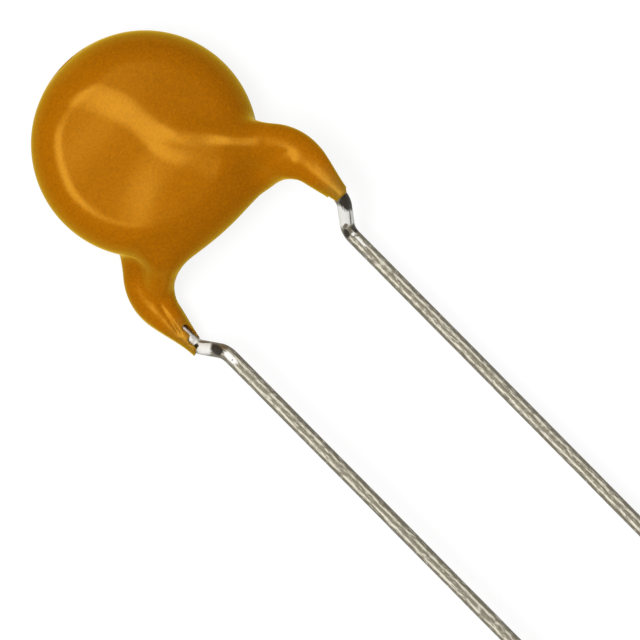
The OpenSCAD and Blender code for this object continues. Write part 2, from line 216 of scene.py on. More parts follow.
# The leg over the front lead. COVER is the resin over the wire: where it comes out of the face,
# at the shoulder and at the torn end. FLAT is how many times as wide as thick the leg is.
COVER_EDGE = -0.3
COVER_SHOULDER = 0.52
COVER_TIP = 0.05
SWELL_FROM = 2.7  # from the disc's middle
SWELL_RUN = 2.5
TAPER_TOP = 5.3
LEG_END = 8.1
FLAT_SHOULDER = 1.25
FLAT_TIP = 0.58
SHOULDER_R = WIRE_R + COVER_SHOULDER
LEG_START = 0.4  # as a share of the lead's run over the face
ARC_STEPS = 12
LEGS_BELOW = 0.5

# The crest of the leg lies outwards from the axis of its wire
LEAN = 0.3
LEAN_FROM = 2.6
LEAN_RUN = 1.6
LEAN_BACK = 0.15

# Below the shoulder the leg's front flattens and turns a little to the left
FACET_POWER = 0.7
FACET_TRIM = 0.02
FACET_TURN = math.radians(9)
FACET_RUN = 0.8


def bar(p, a, b, ra, rb):
    """A round bar from a to b with a radius at each end."""
    ab = b - a
    t = np.clip(((p - a) @ ab) / (ab @ ab), 0, 1)
    return np.linalg.norm(p - a - t[..., None] * ab, axis=-1) - mix(ra, rb, t)


def turned(p):
    """Half a turn about Y, which swaps the two leads."""
    return p * np.array([-1, 1, -1])


def taper(y):
    return ease((-y - TAPER_TOP) / (LEG_END - TAPER_TOP))


def flat_at(y):
    return mix(FLAT_SHOULDER, FLAT_TIP, taper(y))


def squeezed(p):
    q = np.array(p, float)
    q[..., 2] *= FLAT_SHOULDER
    return q


def leg_radius(r, y):
    """The leg's radius at the distance r from the disc's middle and the height y."""
    at_edge = ease((r - SWELL_FROM) / SWELL_RUN)
    return WIRE_R + mix(mix(COVER_EDGE, COVER_SHOULDER, at_edge), COVER_TIP, taper(y))


def leaned(p):
    lean = LEAN * ease((p[..., 0] - LEAN_FROM) / LEAN_RUN)
    back = LEAN_BACK * (1 - taper(p[..., 1]))
    q = np.array(p, float)
    q[..., 0] -= lean * (np.maximum(p[..., 2] - SHOULDER_Z, 0) - back)
    return q


FACE_RUN = [squeezed(CORNERS[0]), squeezed(bend_point(1, 0))]
ARC = [squeezed(bend_point(1, k / ARC_STEPS)) for k in range(ARC_STEPS + 1)]


def leg(p):
    """The resin on the front lead: along the face, round the shoulder and down to its end."""
    p = leaned(p)
    q = squeezed(p)
    a, b = FACE_RUN
    t = np.clip(((q - a) @ (b - a)) / ((b - a) @ (b - a)), LEG_START, 1)[..., None]
    foot = mix(a, b, t)
    r = np.hypot(foot[..., 0], foot[..., 1])
    out = np.linalg.norm(q - foot, axis=-1) - leg_radius(r, foot[..., 1])
    for a, b in zip(ARC, ARC[1:]):
        out = np.minimum(out, bar(q, a, b, SHOULDER_R, SHOULDER_R))
    top, end = bend_point(1, 1), CORNERS[2]
    y = p[..., 1]
    axis = mix(top, end, ((y - top[1]) / (end[1] - top[1]))[..., None])
    off = p - axis
    boxy = ease((top[1] - y) / FACET_RUN)
    power = 2 + FACET_POWER * boxy
    c, d = np.cos(FACET_TURN * boxy), np.sin(FACET_TURN * boxy)
    wide = np.abs(c * off[..., 0] + d * off[..., 2])
    thick = np.abs(c * off[..., 2] - d * off[..., 0]) * flat_at(y)
    down = (wide**power + thick**power) ** (1 / power) - leg_radius(FAR, y) + FACET_TRIM * boxy
    return np.where(y < top[1], down, out)


# The web between the legs: a bar across the disc's foot and one to each leg
WEB_DEPTH = 4.2
WEB_R = 0.85
FORK_R = 0.56
WEB_FILLET = 0.3
WEB_LEFT = np.array([-2.7, 0.15 - WEB_DEPTH, 0])
WEB_RIGHT = np.array([2.8, -0.1 - WEB_DEPTH, 0])
FRONT_FORK = bend_point(1, 1) + np.array([-0.25, 0.1, 0])
REAR_FORK = turned(FRONT_FORK) + np.array([0, 0.15, 0])


def web(p):
    forks = np.minimum(
        bar(p, WEB_RIGHT, FRONT_FORK, WEB_R, FORK_R),
        bar(p, WEB_LEFT, REAR_FORK, WEB_R, FORK_R),
    )
    return blend(bar(p, WEB_LEFT, WEB_RIGHT, WEB_R, WEB_R), forks, WEB_FILLET)


# The relief of each face. The resin is thicker right of a line that runs down the face, curves
# off to the left at its top and bends to the right at its foot.
STEP_H = 0.15
STEP_W = 1.4
STEP_X = 0.62
STEP_BEND = 0.13
STEP_BEND_FROM = 0.6
STEP_TAIL = 0.4
STEP_TAIL_FROM = -0.8
# It is thicker below a second line too, but less so towards the left.
LOW_SHARE = 0.85
LOW_W = 2.1
LOW_Y = -1.2
LOW_BEND = 0.11
LOW_END = -4.4
LOW_FADE = 4.0
# It falls away to the top left, the top, the left, the right and the foot.
TOP_FALL = 0.05
TOP_FROM = 0.6
TOP_W = 2.0
UP_FALL = 0.17
UP_FROM = 1.0
UP_W = 3.4
UP_X = 0.8
UP_SPREAD = 4.0
LEFT_SLOPE = 0.03
LEFT_FROM = 1
RIGHT_FALL = 0.04
RIGHT_FROM = 0.5
FOOT_FALL = 0.02
FOOT_FROM = 0.7
# A ridge rises over the lead, and starts out to one side of it.
RIDGE_H = 0.07
RIDGE_W = 0.7
RIDGE_FROM = 1.9
RIDGE_SHIFT = 0.2
RIDGE_RUN = 2.1
RIDGE_START = 1.5
RIDGE_SIDE = 0.07
# The widths over which these slopes and bends set in
SLOPE_SOFT = 0.6
BEND_SOFT = 0.5

# The rim is rounder at the top of the disc: by how much, at what angle and how far either way
RIM_TOP = 0.4
RIM_TOP_AT = 91.0
RIM_TOP_SPREAD = 22.0


def ridge(x, y):
    start, end = CORNERS[0][:2], CORNERS[1][:2]
    run = unit(end - start)
    dx, dy = x - start[0], y - start[1]
    along = dx * run[0] + dy * run[1]
    near_start = np.clip(1 - (along - RIDGE_FROM) / RIDGE_RUN, 0, RIDGE_START)
    across = dx * run[1] - dy * run[0] - RIDGE_SHIFT * near_start**2 - RIDGE_SIDE
    return RIDGE_H * soft(along - RIDGE_FROM, SLOPE_SOFT) * bell(across, RIDGE_W)


def face_height(x, y):
    up = soft(y - STEP_BEND_FROM, SLOPE_SOFT)
    left = soft(-x, BEND_SOFT)
    tail = soft(STEP_TAIL_FROM - y, BEND_SOFT)
    step = x - STEP_X + STEP_BEND * up**2 - STEP_TAIL * tail
    step = step / np.sqrt(1 + (2 * STEP_BEND * up) ** 2)
    low = (LOW_Y - LOW_BEND * left**2 - y) / np.sqrt(1 + (2 * LOW_BEND * left) ** 2)
    left_of = 1 - ease(step / STEP_W + 0.5)
    thick = LOW_SHARE * ease((x - LOW_END) / LOW_FADE) * ease(low / LOW_W + 0.5)
    base = FACE_Z + STEP_H * (1 - left_of * (1 - thick))
    top_left = TOP_FALL * ease((y - TOP_FROM) / TOP_W) + LEFT_SLOPE * (LEFT_FROM - y)
    base = base - left_of * top_left
    base = base - UP_FALL * ease((y - UP_FROM) / UP_W) * bell(x - UP_X, UP_SPREAD)
    base = base - RIGHT_FALL * soft(step - RIGHT_FROM, SLOPE_SOFT) * (1 - left_of)
    base = base - FOOT_FALL * soft(low - FOOT_FROM, SLOPE_SOFT)
    return base + ridge(x, y)


def rim_radius(x, y):
    turn = np.degrees(np.arctan2(y, x - DISC_X)) - RIM_TOP_AT
    return RIM_R + RIM_TOP * bell(turn, RIM_TOP_SPREAD)


def coated_disc(p):
    x, y, z = p[..., 0], p[..., 1], p[..., 2]
    h = np.where(z > 0, face_height(x, y), face_height(-x, y))
    rim = np.where(z > 0, rim_radius(x, y), RIM_R)
    qr = np.hypot(x - DISC_X, y) - (DISC_R - rim)
    qz = np.abs(z) - (h - rim)
    return np.minimum(np.maximum(qr, qz), 0) + np.hypot(np.maximum(qr, 0), np.maximum(qz, 0)) - rim


# The fillet between the disc and the web, the one round the legs, and the smaller one at their
# shoulders with where that starts and the runs over which it sets in, sideways and down
FILLET = 0.7
LEG_FILLET = 0.95
SHOULDER_FILLET = 0.25
SHOULDER_FROM = (3.0, 3.3)
SHOULDER_RUN = (1.5, 1.2)


def resin(p):
    body = blend(coated_disc(p), web(p), FILLET)
    low = p[..., 1] < LEGS_BELOW
    legs = np.full(p.shape[:-1], FAR)
    legs[low] = np.minimum(leg(p[low]), leg(turned(p[low])))
    sideways = ease((np.abs(p[..., 0]) - SHOULDER_FROM[0]) / SHOULDER_RUN[0])
    down = ease((-p[..., 1] - SHOULDER_FROM[1]) / SHOULDER_RUN[1])
    return blend(body, legs, mix(LEG_FILLET, SHOULDER_FILLET, sideways * down))


# The torn ends of the legs: their depths, what is torn off further at a side of one, as the x
# it starts from and its height or slope, and the ragged edge as heights, scales and seeds of noise
TEARS_BELOW = -6.4
FRONT_TEAR = 7.72
FRONT_TEAR_LEFT = (4.27, 0.42)
FRONT_TEAR_RIGHT = (4.82, 0.14)
FRONT_TEAR_STEP = 0.12
FRONT_RAGGED = 0.6
REAR_TEAR = 7.55
REAR_TEAR_LEFT = (-4.0, 0.58)
COARSE_TEAR = (0.07, 9.0, 5)
FINE_TEAR = (0.03, 26.0, 9)


def torn_end(p):
    """Cuts both legs off with a ragged edge."""
    x, y = p[..., 0], p[..., 1]
    ragged = sum(height * noise(p, scale, seed) for height, scale, seed in (COARSE_TEAR, FINE_TEAR))
    right = (
        -FRONT_TEAR
        + FRONT_TEAR_LEFT[1] * ease((FRONT_TEAR_LEFT[0] - x) / FRONT_TEAR_STEP)
        + FRONT_TEAR_RIGHT[1] * ease((x - FRONT_TEAR_RIGHT[0]) / FRONT_TEAR_STEP)
        + FRONT_RAGGED * ragged
        - y
    )
    left = -REAR_TEAR - REAR_TEAR_LEFT[1] * np.maximum(REAR_TEAR_LEFT[0] - x, 0) + ragged - y
    return np.where(x > 0, right, left)


# The slot in the front of the rear leg: the depth of its top, the depth of its step and the
# run of that step, its middle and half width above and below the step, and the waviness of its
# sides. A ridge of tin fills its left part.
SLOT_FROM = 6.92
SLOT_STEP = (7.28, 0.14)
SLOT_TOP = (-4.28, 0.13)
SLOT_FOOT = (-4.38, 0.23)
SLOT_WAVE = (0.02, 9)
TIN_TOP = (-4.37, 0.08)
TIN_FOOT = (-4.47, 0.16)
TIN_H = 0.24
TIN_ABOVE = 0.3
TIN_END = 7.74
TIN_FADE = 0.25

# A shallow groove in the front of the rear leg: the depth of its ends and how they fade, its
# middle there, its half width and its depth
GROOVE_FROM = 4.7
GROOVE_TO = 6.9
GROOVE_PAST = 0.3
GROOVE_FADE = 0.5
GROOVE_X = (-4.24, -4.68)
GROOVE_W = 0.1
GROOVE_DEPTH = 0.035


def on_rear_leg_front(p):
    return p[..., 2] > -LEG_END_Z


def across_slot(top, foot, depth):
    """The middle and the half width at a depth."""
    down = ease((depth - SLOT_STEP[0]) / SLOT_STEP[1])
    return mix(top[0], foot[0], down), mix(top[1], foot[1], down)


def slot(p):
    """The worn slot that bares the rear wire, negative inside."""
    x, depth = p[..., 0], -p[..., 1]
    middle, half = across_slot(SLOT_TOP, SLOT_FOOT, depth)
    wave = SLOT_WAVE[0] * np.sin(SLOT_WAVE[1] * depth)
    return np.hypot(x - middle - wave, np.minimum(depth - SLOT_FROM, 0)) - half


def groove(p):
    x, depth = p[..., 0], -p[..., 1]
    middle = mix(*GROOVE_X, (depth - GROOVE_FROM) / (GROOVE_TO - GROOVE_FROM))
    ends = ease((depth - GROOVE_FROM) / GROOVE_FADE)
    ends = ends * ease((GROOVE_TO + GROOVE_PAST - depth) / GROOVE_FADE)
    return GROOVE_DEPTH * ends * bell(x - middle, GROOVE_W) * on_rear_leg_front(p)


def coating_field(p):
    field = resin(p)
    legs = p[..., 1] < -GROOVE_FROM
    field[legs] += groove(p[legs])
    low = p[..., 1] < TEARS_BELOW
    q = p[low]
    worn = np.where(on_rear_leg_front(q), -slot(q), -FAR)
    field[low] = np.maximum(np.maximum(field[low], torn_end(q)), worn)
    return field


# ---- Surface nets on a grid with uneven spacing


def graded(stops):
    """Grid lines from (start, step) pairs and a last stop."""
    lines = []
    for (a, step), (b, _) in zip(stops, stops[1:]):
        count = max(1, int(round((b - a) / step)))
        lines += [a + (b - a) * k / count for k in range(count)]
    return np.array(lines + [stops[-1][0]])


LAYERS_AT_ONCE = 24


def surface_nets(field, xs, ys, zs):
    """Points and four-sided faces of the surface where the field is 0."""
    grid = np.empty((len(xs), len(ys), len(zs)))
    for k in range(0, len(ys), LAYERS_AT_ONCE):
        layers = slice(k, k + LAYERS_AT_ONCE)
        grid[:, layers] = field(np.stack(np.meshgrid(xs, ys[layers], zs, indexing="ij"), -1))
    inside = grid < 0
    corners = [(i, j, k) for i in (0, 1) for j in (0, 1) for k in (0, 1)]
    shape = tuple(n - 1 for n in grid.shape)

    def corner(a, c):
        """The values that the cells have at one of their corners."""
        return a[c[0] : c[0] + shape[0], c[1] : c[1] + shape[1], c[2] : c[2] + shape[2]]

    filled = sum(corner(inside, c).astype(int) for c in corners)
    mixed = (filled > 0) & (filled < 8)
    cells = np.argwhere(mixed)
    number = np.full(shape, -1)
    number[mixed] = np.arange(len(cells))
    total, count = np.zeros((len(cells), 3)), np.zeros(len(cells))
    for a in corners:
        for axis in range(3):
            if a[axis]:
                continue
            b = tuple(v + (1 if n == axis else 0) for n, v in enumerate(a))
            ga, gb = corner(grid, a)[mixed], corner(grid, b)[mixed]
            crossed = (ga < 0) != (gb < 0)
            t = np.where(crossed, ga / np.where(crossed, ga - gb, 1), 0)
            point = np.tile(np.array(a, float), (len(cells), 1))
            point[:, axis] += t
            total += np.where(crossed[:, None], point, 0)
            count += crossed
    local = total / count[:, None]
    lines = (xs, ys, zs)
    verts = np.empty_like(local)
    for axis in range(3):
        low = lines[axis][cells[:, axis]]
        high = lines[axis][cells[:, axis] + 1]
        verts[:, axis] = low + (high - low) * local[:, axis]
    faces = []
    for axis in range(3):
        u, v = (axis + 1) % 3, (axis + 2) % 3
        a = [slice(None)] * 3
        b = [slice(None)] * 3
        a[axis], b[axis] = slice(0, -1), slice(1, None)
        first, second = inside[tuple(a)], inside[tuple(b)]
        edges = np.argwhere(first != second)
        edges = edges[(edges[:, u] > 0) & (edges[:, v] > 0)]
        edges = edges[(edges[:, u] < shape[u]) & (edges[:, v] < shape[v])]
        ring = []
        for du, dv in ((-1, -1), (0, -1), (0, 0), (-1, 0)):
            c = edges.copy()
            c[:, u] += du
            c[:, v] += dv
            ring.append(number[c[:, 0], c[:, 1], c[:, 2]])
        quad = np.stack(ring, 1)
        outward = first[edges[:, 0], edges[:, 1], edges[:, 2]]
        quad[~outward] = quad[~outward][:, ::-1]
        faces.append(quad)
    return verts, np.concatenate(faces)


SLOPE_STEP = 0.004
LEAST_SLOPE = 0.2


def settle(field, verts, rounds=3, reach=0.05):
    """Moves the points on to the surface itself along the field's slope."""
    for _ in range(rounds):
        value = field(verts)
        rises = [field(verts + SLOPE_STEP * e) - field(verts - SLOPE_STEP * e) for e in np.eye(3)]
        slope = np.stack([rise / (2 * SLOPE_STEP) for rise in rises], -1)
        size = np.maximum((slope**2).sum(-1), LEAST_SLOPE)
        verts = verts - np.clip(value / size, -reach, reach)[:, None] * slope
    return verts


def add_mesh(name, points, faces):
    """A new object in the scene from points in metres and lists of their numbers."""
    mesh = bpy.data.meshes.new(name)
    mesh.from_pydata(points, [], faces)
    obj = bpy.data.objects.new(name, mesh)
    bpy.context.scene.collection.objects.link(obj)
    return obj


def make_mesh(name, verts_mm, faces):
    """A smooth piece from points of the upright frame in mm."""
    obj = add_mesh(name, (lie(verts_mm) * MM).tolist(), faces)
    obj.data.validate()
    obj.data.update()
    obj.data.shade_smooth()
    return obj


# ---- Materials


class Nodes:
    """A short way to write node trees."""

    def __init__(self, name):
        self.material = bpy.data.materials.new(name)
        self.material.use_nodes = True
        self.tree = self.material.node_tree
        self.tree.nodes.clear()
        self.out = self.add("ShaderNodeOutputMaterial")

    def add(self, kind, **values):
        node = self.tree.nodes.new(kind)
        for key, value in values.items():
            if hasattr(node, key) and key not in node.inputs:
                setattr(node, key, value)
            else:
                node.inputs[key].default_value = value
        return node

    def link(self, a, b):
        self.tree.links.new(a, b)

    def math(self, operation, a, b=None):
        node = self.add("ShaderNodeMath", operation=operation)
        for k, v in enumerate((a, b)):
            if v is None:
                continue
            if isinstance(v, (int, float)):
                node.inputs[k].default_value = v
            else:
                self.link(v, node.inputs[k])
        return node.outputs[0]

    def remap(self, value, low, high, to_low=0.0, to_high=1.0):
        ends = {"From Min": low, "From Max": high, "To Min": to_low, "To Max": to_high}
        node = self.add("ShaderNodeMapRange", **ends)
        self.link(value, node.inputs["Value"])
        return node.outputs["Result"]

    def colour_mix(self, factor, a, b):
        node = self.add("ShaderNodeMix", data_type="RGBA")
        for socket, v in ((node.inputs[0], factor), (node.inputs[6], a), (node.inputs[7], b)):
            if isinstance(v, tuple):
                socket.default_value = v
            else:
                self.link(v, socket)
        return node.outputs[2]

    def noise(self, vector, scale, **values):
        node = self.add("ShaderNodeTexNoise", Scale=scale, **values)
        self.link(vector, node.inputs["Vector"])
        return node.outputs[0]

    def centred(self, value, share):
        """A noise about 0, of which share is the whole range."""
        return self.math("MULTIPLY", self.math("SUBTRACT", value, 0.5), share)

    def object_place(self):
        return self.add("ShaderNodeTexCoord").outputs["Object"]

    def split(self, vector):
        node = self.add("ShaderNodeSeparateXYZ")
        self.link(vector, node.inputs[0])
        return node.outputs

    def bump(self, height, normal=None, **values):
        node = self.add("ShaderNodeBump", **values)
        self.link(height, node.inputs["Height"])
        if normal:
            self.link(normal, node.inputs["Normal"])
        return node.outputs[0]

    def finish(self, shader):
        self.link(shader.outputs[0], self.out.inputs["Surface"])
        return self.material


def srgb(r, g, b):
    def lin(c):
        c /= 255
        return c / 12.92 if c <= 0.04045 else ((c + 0.055) / 1.055) ** 2.4

    return (lin(r), lin(g), lin(b), 1.0)


# The resin: its two ordinary tones, a darker tone that paints shade on its right and at the foot
# of the disc, the film at the ends of the legs, and its dark and its pale grains
RESIN_TONES = (srgb(175, 103, 1), srgb(180, 106, 2))
RESIN_PAINTED_SHADE = srgb(166, 97, 1)
RESIN_FILM = srgb(156, 121, 110)
DARK_GRAIN = srgb(146, 84, 1)
PALE_GRAIN = srgb(196, 118, 6)
RESIN_GLOSS = {
    "Roughness": 0.25,
    "IOR": 1.5,
    "Specular IOR Level": 0.62,
    "Specular Tint": (1.0, 0.6, 0.4, 1.0),
    # A clear layer takes the blue out of what it reflects
    "Coat Weight": 1.0,
    "Coat IOR": 1.03,
    "Coat Tint": (1.0, 0.95, 0.15, 1.0),
    # The edges are fringed with paler amber
    "Sheen Weight": 1.0,
    "Sheen Roughness": 0.38,
    "Sheen Tint": (1.0, 0.65, 0.05, 1.0),
}
CLOUD = {"scale": 420, "Detail": 3.0, "Roughness": 0.55}
CLOUD_RANGE = (0.35, 0.65)
CLOUD_WANDER = 2.0  # mm, by which the clouds move the edges of the tones
GRAIN = {"scale": 9000, "Detail": 2.0, "Roughness": 0.6}
GRAIN_BUMP = {"Strength": 0.25, "Distance": 0.000005}
DARK_GRAIN_RANGE = (0.5, 0.75, 0.0, 0.6)
PALE_GRAIN_RANGE = (0.5, 0.25, 0.0, 0.5)
SWELL = {"scale": 1600, "Detail": 2.0}
SWELL_BUMP = {"Strength": 0.12, "Distance": 0.00002}

# Painted shade darkens the resin to the right of an x and near a height, both within a distance of
# a middle, and the resin turns into a film down the legs. Each range runs from none of it to all of
# it, in mm.
SHADE_RIGHT = (0.2, 2.6)
SHADE_FOOT_Y = -4.0
SHADE_FOOT = (1.4, 0.5)
SHADE_MIDDLE_X = -0.4
SHADE_WITHIN = (5.9, 5.1)
FILM_DOWN = (-6.2, -7.7)


def resin_material():
    m = Nodes("resin_ochre")
    coords = m.object_place()
    across, upwards, _ = m.split(coords)
    x = m.math("MULTIPLY", across, 1 / MM)
    y = m.math("SUBTRACT", m.math("MULTIPLY", upwards, 1 / MM), float(LIE_SHIFT[1]))
    cloud, grain = m.noise(coords, **CLOUD), m.noise(coords, **GRAIN)
    tone = m.colour_mix(m.remap(cloud, *CLOUD_RANGE), *RESIN_TONES)
    wander = m.centred(cloud, CLOUD_WANDER)
    right_side = m.remap(m.math("ADD", x, wander), *SHADE_RIGHT)
    foot_side = m.remap(m.math("ABSOLUTE", m.math("ADD", y, -SHADE_FOOT_Y)), *SHADE_FOOT)
    from_middle_x = m.math("ABSOLUTE", m.math("ADD", x, -SHADE_MIDDLE_X))
    x_squared = m.math("POWER", from_middle_x, 2.0)
    y_squared = m.math("POWER", m.math("ABSOLUTE", y), 2.0)
    from_middle = m.math("SQRT", m.math("ADD", x_squared, y_squared))
    on_disc = m.remap(from_middle, *SHADE_WITHIN)
    # Painted shade: the resin is darker to the right and at the foot of the disc
    thick = m.math("MULTIPLY", m.math("MAXIMUM", right_side, foot_side), on_disc)
    tone = m.colour_mix(thick, tone, RESIN_PAINTED_SHADE)
    film = m.remap(m.math("ADD", y, wander), *FILM_DOWN)
    tone = m.colour_mix(film, tone, RESIN_FILM)
    tone = m.colour_mix(m.remap(grain, *DARK_GRAIN_RANGE), tone, DARK_GRAIN)
    tone = m.colour_mix(m.remap(grain, *PALE_GRAIN_RANGE), tone, PALE_GRAIN)
    shader = m.add("ShaderNodeBsdfPrincipled", **RESIN_GLOSS)
    m.link(tone, shader.inputs["Base Color"])
    swollen = m.bump(m.noise(coords, **SWELL), **SWELL_BUMP)
    m.link(m.bump(grain, swollen, **GRAIN_BUMP), shader.inputs["Normal"])
    return m.finish(shader)


METAL_GRAIN = {"scale": 3000, "Detail": 3.0}
METAL_DARKEST = 0.8
CERAMIC_GRAIN = {"scale": 5000, "Detail": 4.0}
CERAMIC_TONES = (srgb(196, 178, 148), srgb(214, 198, 170))


def grained(name, grain, dark, pale, **values):
    """A material for a hidden piece: fine noise between two tones."""
    m = Nodes(name)
    shader = m.add("ShaderNodeBsdfPrincipled", **values)
    between = m.noise(m.object_place(), **grain)
    m.link(m.colour_mix(between, dark, pale), shader.inputs["Base Color"])
    return m.finish(shader)


def plain_metal(name, colour, roughness):
    dark = tuple(c * METAL_DARKEST for c in colour[:3]) + (1.0,)
    return grained(name, METAL_GRAIN, dark, colour, Metallic=1.0, Roughness=roughness)


# Painted light round the wire, from its crest to its side: a dark crest and dark flanks of painted
# shade with bright bands of painted reflection between them, each as a share of the quarter turn
# and a colour
WIRE_PAINTED_BANDS = (
    (0.0, srgb(128, 120, 100)),
    (0.12, srgb(132, 124, 104)),
    (0.22, srgb(246, 240, 220)),
    (0.33, srgb(240, 234, 214)),
    (0.43, srgb(128, 121, 101)),
    (0.8, srgb(116, 110, 92)),
    (1.0, srgb(126, 120, 102)),
)
# The noises that move and break up the painted bands, with how much of each mm along the wire
# counts: the less, the longer the streaks. A share is how far a noise moves the bands round the
# wire.
STREAK = {"scale": 4.2, "Detail": 4.0, "Roughness": 0.65}
STREAK_ALONG = 0.4
STREAK_SHARE = 0.2
STREAK_BUMP = {"Strength": 0.4, "Distance": 0.00002}
WIDE = {"scale": 1.1, "Detail": 1.0}
WIDE_ALONG = 0.5
WIDE_SHARE = 0.12
MOTTLE = {"scale": 5.0, "Detail": 4.0, "Roughness": 0.65}
MOTTLE_ALONG = 0.6
# Dull and bright mottles over them, as a colour and a range of the noise
DULL_MOTTLE = (srgb(124, 116, 98), (0.49, 0.6, 0.0, 0.85))
BRIGHT_MOTTLE = (srgb(236, 230, 212), (0.45, 0.34, 0.0, 0.85))
# The shades of the spots at the kinks, which paint light on the bends: the bright shade is painted
# reflection, the dark, brown and grey shades are painted shade. Then the shape of a spot: the power
# of its outline, how ragged it is and the range over which it fades in
SPOT_SHADES = {
    "dark": srgb(50, 42, 30),
    "brown": srgb(118, 98, 66),
    "grey": srgb(120, 112, 96),
    "bright": srgb(255, 254, 248),
}
SPOT_POWER = 3.0
SPOT_RAGGED = 0.9
SPOT_EDGE = (1.15, 0.8)
TIN_ROUGHNESS = 0.48
TIN_METALLIC = 0.22
BRIGHT_METALLIC = 0.05


def wire_material(name, spots):
    """Tinned wire with painted stripes of reflection and shade along it. A spot is its shade, its
    middle x and y on the upright part, its half width and half length in mm, and its lean in
    degrees."""
    m = Nodes(name)
    along, turns, _ = m.split(m.add("ShaderNodeUVMap", uv_map="UVMap").outputs[0])
    x, y, _ = m.split(m.add("ShaderNodeUVMap", uv_map="upright").outputs[0])
    angle = m.math("MULTIPLY", turns, 2 * math.pi)

    def around(stretch):
        """A place on the wire for noise that is stretched along it."""
        place = m.add("ShaderNodeCombineXYZ")
        m.link(m.math("MULTIPLY", along, stretch), place.inputs[0])
        m.link(m.math("COSINE", angle), place.inputs[1])
        m.link(m.math("SINE", angle), place.inputs[2])
        return place.outputs[0]

    def cubed(value):
        return m.math("POWER", m.math("ABSOLUTE", value), SPOT_POWER)

    def spot_mask(sx, sy, half_w, half_l, lean):
        c, d = math.cos(math.radians(lean)), math.sin(math.radians(lean))
        dx, dy = m.math("SUBTRACT", x, sx), m.math("SUBTRACT", y, sy)
        across = m.math(
            "ADD", m.math("MULTIPLY", dx, c / half_w), m.math("MULTIPLY", dy, d / half_w)
        )
        down = m.math(
            "ADD", m.math("MULTIPLY", dx, -d / half_l), m.math("MULTIPLY", dy, c / half_l)
        )
        away = m.math("POWER", m.math("ADD", cubed(across), cubed(down)), 1 / SPOT_POWER)
        return m.remap(m.math("ADD", away, m.centred(mottle, SPOT_RAGGED)), *SPOT_EDGE)

    streak = m.noise(around(STREAK_ALONG), **STREAK)
    wide = m.noise(around(WIDE_ALONG), **WIDE)
    mottle = m.noise(around(MOTTLE_ALONG), **MOTTLE)
    side = m.math("FRACT", m.math("ADD", m.math("MULTIPLY", turns, 2), 0.5))
    side = m.math("MULTIPLY", m.math("ABSOLUTE", m.math("SUBTRACT", side, 0.5)), 2)
    wander = m.math("ADD", m.centred(streak, STREAK_SHARE), m.centred(wide, WIDE_SHARE))
    side = m.math("ADD", side, wander)
    # The bands paint reflections and shade round the wire
    ramp = m.add("ShaderNodeValToRGB")
    m.link(side, ramp.inputs[0])
    marks = ramp.color_ramp.elements
    while len(marks) < len(WIRE_PAINTED_BANDS):
        marks.new(0.5)
    for mark, (position, shade) in zip(marks, WIRE_PAINTED_BANDS):
        mark.position = position
        mark.color = shade
    tone = ramp.outputs[0]
    for shade, ends in (DULL_MOTTLE, BRIGHT_MOTTLE):
        tone = m.colour_mix(m.remap(mottle, *ends), tone, shade)
    bright = None
    # Spots paint reflections and shade on the kinks
    for shade, *place in spots:
        inside = spot_mask(*place)
        tone = m.colour_mix(inside, tone, SPOT_SHADES[shade])
        if shade == "bright":
            bright = inside if bright is None else m.math("MAXIMUM", bright, inside)
        elif bright is not None:
            bright = m.math("MULTIPLY", bright, m.math("SUBTRACT", 1.0, inside))
    shader = m.add("ShaderNodeBsdfPrincipled", Roughness=TIN_ROUGHNESS)
    m.link(tone, shader.inputs["Base Color"])
    m.link(m.remap(bright, 0.0, 1.0, TIN_METALLIC, BRIGHT_METALLIC), shader.inputs["Metallic"])
    m.link(m.bump(streak, **STREAK_BUMP), shader.inputs["Normal"])
    return m.finish(shader)


# ---- Pieces

# The grid's lines as pairs of where a stretch starts and its spacing
GRID_X = graded([(-5.8, 0.06), (-3.7, 0.09), (3.8, 0.06), (5.85, 0)])
GRID_Y = graded([(-8.4, 0.05), (-6.2, 0.09), (5.3, 0)])
GRID_Z = graded([(-2.3, 0.07), (2.3, 0)])

coating_verts, coating_faces = surface_nets(coating_field, GRID_X, GRID_Y, GRID_Z)
coating_verts = settle(coating_field, coating_verts)
coating = make_mesh("resin_body", coating_verts, coating_faces.tolist())
coating.data.materials.append(resin_material())
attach(coating, "root")
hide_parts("coating")

# The wires' mesh, and their uneven coat of tin: the share by which a wire is drawn in to stay
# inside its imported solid, the height of its lumps in mm, and how close together they lie
SIDES = 48
RING_STEP = 0.06
WIRE_TRIM = 0.004
LUMP_H = 0.006
LUMP_ALONG = 0.5
LUMP_ROUND = 1.3
LUMP_SCALE = 1.6
LUMP_OCTAVES = 3


def tin_in_slot(points):
    """Raises the rear wire's front where the slot bares it, as a ridge of tin."""
    x, depth = points[:, 0], -points[:, 1]
    middle, width = across_slot(TIN_TOP, TIN_FOOT, depth)
    rise = bell(x - middle, width)
    rise *= ease((depth - SLOT_FROM + TIN_ABOVE) / TIN_FADE) * ease((TIN_END - depth) / TIN_FADE)
    lifted = points.copy()
    lifted[:, 2] += TIN_H * rise * on_rear_leg_front(points)
    return lifted


